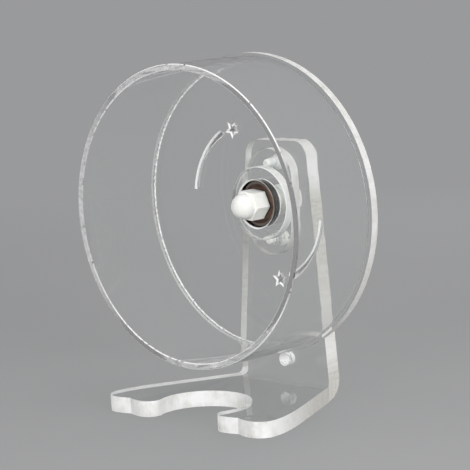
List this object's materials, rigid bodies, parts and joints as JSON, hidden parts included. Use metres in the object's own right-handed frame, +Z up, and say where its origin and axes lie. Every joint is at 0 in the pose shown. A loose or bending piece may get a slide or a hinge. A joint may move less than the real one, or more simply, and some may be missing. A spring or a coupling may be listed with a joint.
{
  "type": "hamster exercise wheel",
  "caption": "Clear exercise wheel for a small pet: an open drum with a back disc, turning on a ball bearing that is bolted to a bent clear stand with a rounded cut-out in its foot.",
  "frame": {"origin": "middle of the assembly's bounding box, on the surface that the foot stands on", "axes": "+Z up, the drum's open side faces -Y, the wheel's axis runs along Y through x = 0, z = 94.5 mm"},
  "size_m": [0.142, 0.0842, 0.1655],
  "materials": {
    "clear_acrylic": "clear, polished faces, bright sawn edges",
    "white_nylon": "satin",
    "bearing_steel": "ground and polished",
    "shield_steel": "pressed, glossy",
    "cage_nylon": "moulded"
  },
  "bodies": {
    "stand_and_axle": {"stand": "clear_acrylic", "oval_plate": "clear_acrylic", "upper_plate_screw": "white_nylon", "lower_plate_screw": "white_nylon", "axle_bolt": "white_nylon", "axle_spacer": "white_nylon", "cap_nut": "white_nylon", "bearing_inner_race": "bearing_steel"},
    "wheel": {"drum_ring": "clear_acrylic", "back_disc": "clear_acrylic", "hub_ring": "clear_acrylic", "bearing_outer_race": "bearing_steel", "bearing_front_shield": "shield_steel", "bearing_rear_shield": "shield_steel"},
    "ball_set": {"bearing_cage": "cage_nylon", "bearing_ball_1": "bearing_steel", "bearing_ball_2": "bearing_steel", "bearing_ball_3": "bearing_steel", "bearing_ball_4": "bearing_steel", "bearing_ball_5": "bearing_steel", "bearing_ball_6": "bearing_steel", "bearing_ball_7": "bearing_steel"}
  },
  "joints": [
    {"name": "wheel_spin", "type": "hinge", "parent": "stand_and_axle", "child": "wheel", "pos_m": [0, 0, 0.0945], "axis": [0, 1, 0], "continuous": true},
    {"name": "ball_set_spin", "type": "hinge", "parent": "stand_and_axle", "child": "ball_set", "pos_m": [0, 0, 0.0945], "axis": [0, 1, 0], "continuous": true}
  ],
  "couplings": [
    {"joint": "ball_set_spin", "follows": "wheel_spin", "ratio": 0.6323}
  ]
}
